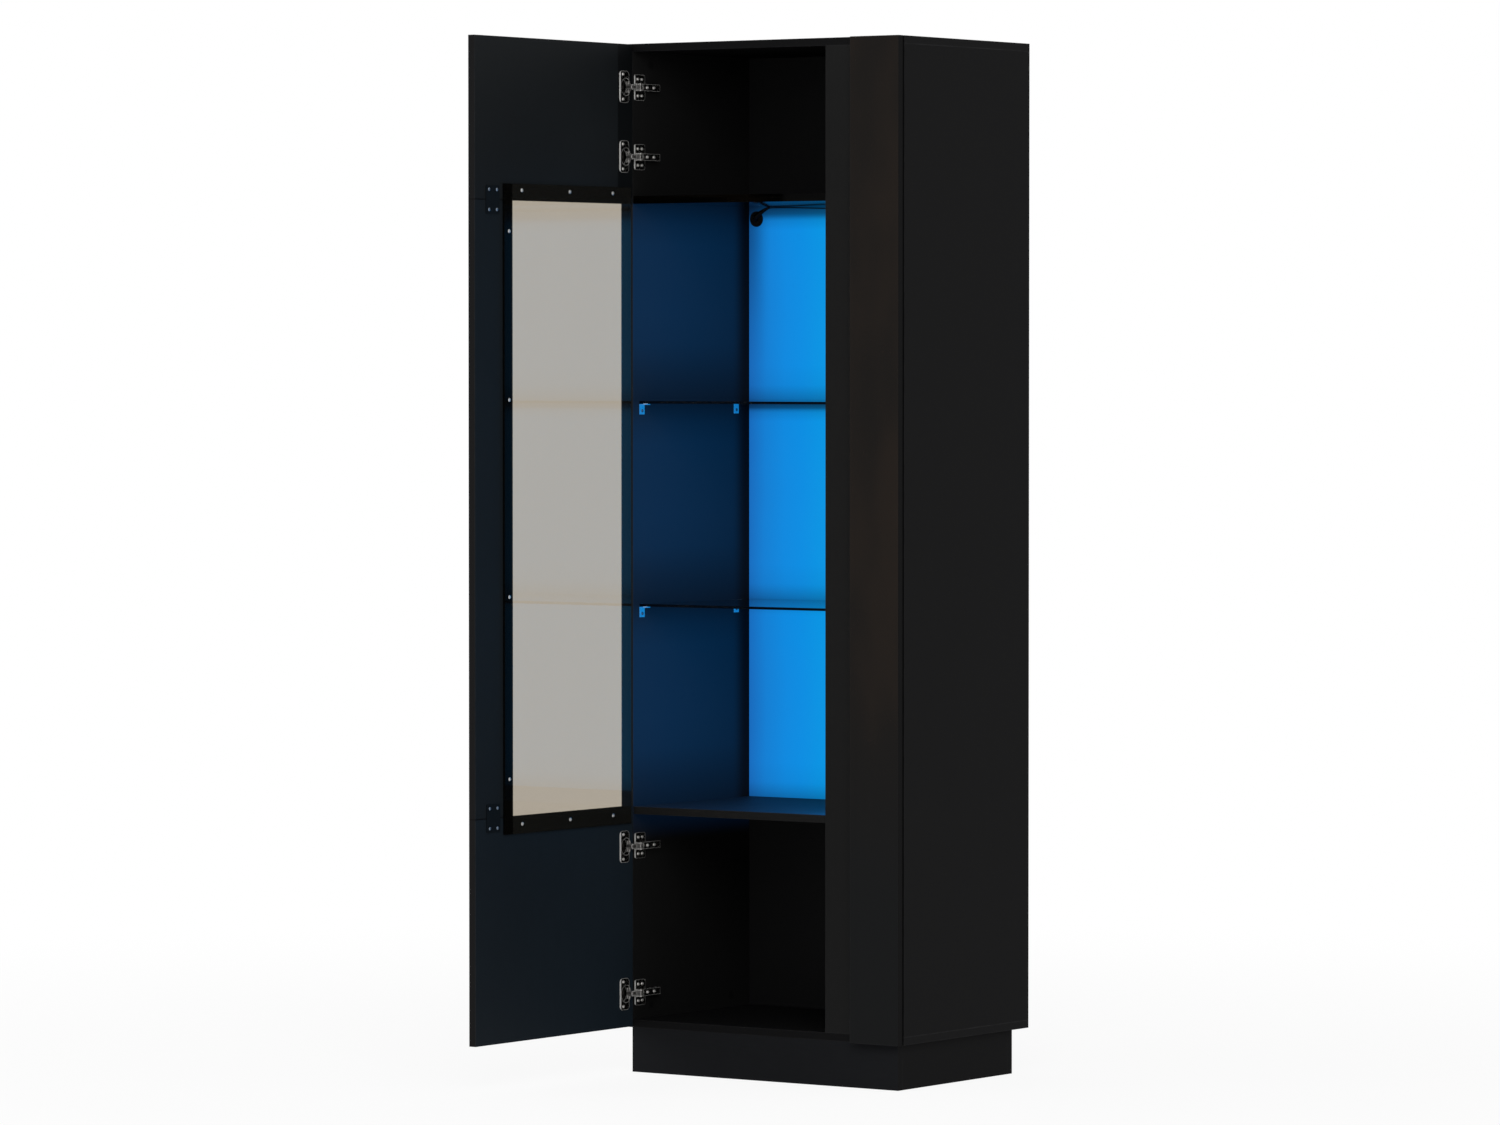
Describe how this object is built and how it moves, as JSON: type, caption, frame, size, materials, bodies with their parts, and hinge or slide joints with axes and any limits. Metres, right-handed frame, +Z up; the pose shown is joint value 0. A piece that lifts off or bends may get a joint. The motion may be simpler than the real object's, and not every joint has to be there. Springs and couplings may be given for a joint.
{
  "type": "display cabinet with glass door",
  "caption": "Tall handle-less display cabinet of black board with a glazed hinged door, glass shelves, a recessed plinth and hidden strip lighting.",
  "frame": {"origin": "on the floor, under the middle of the plinth's front rail", "axes": "+X to the right seen from the front, +Y towards the back, +Z up; the door stands open at 90 degrees"},
  "size_m": [0.65, 0.9419, 2],
  "materials": {
    "matt_board": "matt black melamine",
    "gloss_board": "black high gloss",
    "back_board": "satin",
    "beech": "plain",
    "shelf_glass": "clear toughened",
    "door_glass": "bronze tinted, black printed border",
    "nickel_steel": "nickel plated",
    "zinc": "plain zinc",
    "black_steel": "black",
    "silicone": "translucent white",
    "black_plastic": "matt",
    "strip_diffuser": "opal"
  },
  "bodies": {
    "cabinet": {"bottom_panel": "matt_board", "top_panel": "matt_board", "left_side_panel": "matt_board", "right_side_panel": "matt_board", "lower_fixed_shelf": "matt_board", "upper_fixed_shelf": "matt_board", "front_stile": "matt_board", "plinth_front_rail": "matt_board", "plinth_back_rail": "matt_board", "plinth_left_rail": "matt_board", "plinth_right_rail": "matt_board", "front_panel": "gloss_board", "back_panel": "back_board", "dowels": "beech", "glass_shelf_lower": "shelf_glass", "glass_shelf_upper": "shelf_glass", "hinge_arms": "nickel_steel", "hinge_plates": "nickel_steel", "hinge_arm_rivets": "nickel_steel", "hinge_arm_screws": "nickel_steel", "hinge_plate_screws": "nickel_steel", "shelf_brackets": "nickel_steel", "shelf_bracket_screws": "nickel_steel", "front_panel_screws": "nickel_steel", "cam_locks": "zinc", "cam_bolts": "zinc", "shelf_pads": "silicone", "front_panel_spacers": "black_plastic", "cable_grommet": "black_plastic", "lead_plug": "black_plastic", "led_leads": "black_plastic", "lead_clips": "black_plastic", "led_strip": "strip_diffuser"},
    "outer_links": {"hinge_outer_links": "nickel_steel"},
    "inner_links": {"hinge_inner_links": "nickel_steel"},
    "door": {"door_top_board": "matt_board", "door_bottom_board": "matt_board", "door_stile": "matt_board", "door_glass": "door_glass", "door_glass_screws": "nickel_steel", "mending_plates": "black_steel", "mending_plate_screws": "nickel_steel", "hinge_cups": "nickel_steel", "hinge_cup_rivets": "nickel_steel", "hinge_cup_screws": "nickel_steel"}
  },
  "joints": [
    {"name": "outer_links_on_arms", "type": "hinge", "parent": "cabinet", "child": "outer_links", "pos_m": [-0.2945, -0.0038, 1], "axis": [0, 0, 1], "range_deg": [-15.25, 1.75]},
    {"name": "door_swing", "type": "hinge", "parent": "outer_links", "child": "door", "pos_m": [-0.31123, -0.01964, 1], "axis": [0, 0, 1], "range_deg": [-11.69, 105.2]},
    {"name": "inner_links_on_arms", "type": "hinge", "parent": "cabinet", "child": "inner_links", "pos_m": [-0.30251, -0.00661, 1], "axis": [0, 0, 1], "range_deg": [-0.32, 2.47]}
  ],
  "couplings": [
    {"joint": "outer_links_on_arms", "follows": "door_swing", "ratio": -0.14449},
    {"joint": "inner_links_on_arms", "follows": "door_swing", "ratio": 0.022965}
  ]
}
